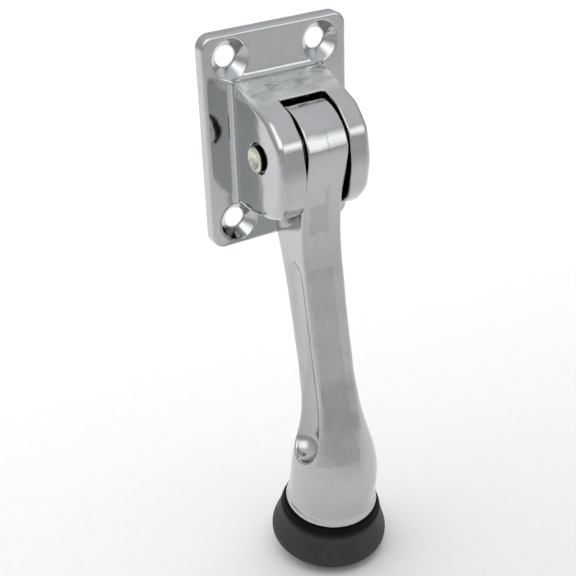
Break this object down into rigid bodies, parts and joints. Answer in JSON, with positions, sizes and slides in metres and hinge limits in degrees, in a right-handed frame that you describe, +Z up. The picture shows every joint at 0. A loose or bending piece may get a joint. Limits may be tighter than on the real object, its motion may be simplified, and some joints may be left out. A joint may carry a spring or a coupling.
{
  "type": "kick-down door holder",
  "caption": "Door holder with a screw-on back plate, a hinged fluted arm and a flared rubber foot that is kicked down onto the floor.",
  "frame": {"origin": "centre of the plate's back face, which lies on the door", "axes": "+Z up; +Y into the door, so the object stands out towards -Y; X across the plate, along the hinge pin"},
  "size_m": [0.0412, 0.0411, 0.1462],
  "materials": {
    "chrome_plate": "polished",
    "chrome_plate_arm": "polished",
    "pin_steel": "satin",
    "washer_steel": "satin",
    "spring_steel": "satin",
    "black_rubber": "matte",
    "screw_steel": "satin"
  },
  "bodies": {
    "base": {"base_casting": "chrome_plate", "hinge_pin": "pin_steel", "spacer_washer_left": "washer_steel", "spacer_washer_right": "washer_steel", "leaf_spring": "spring_steel"},
    "arm": {"arm_casting": "chrome_plate_arm", "rubber_foot": "black_rubber", "foot_washer": "washer_steel", "foot_screw": "screw_steel"}
  },
  "joints": [
    {"name": "arm_hinge", "type": "hinge", "parent": "base", "child": "arm", "pos_m": [0, -0.016, 0], "axis": [-1, 0, 0], "range_deg": [-4, 138]}
  ]
}
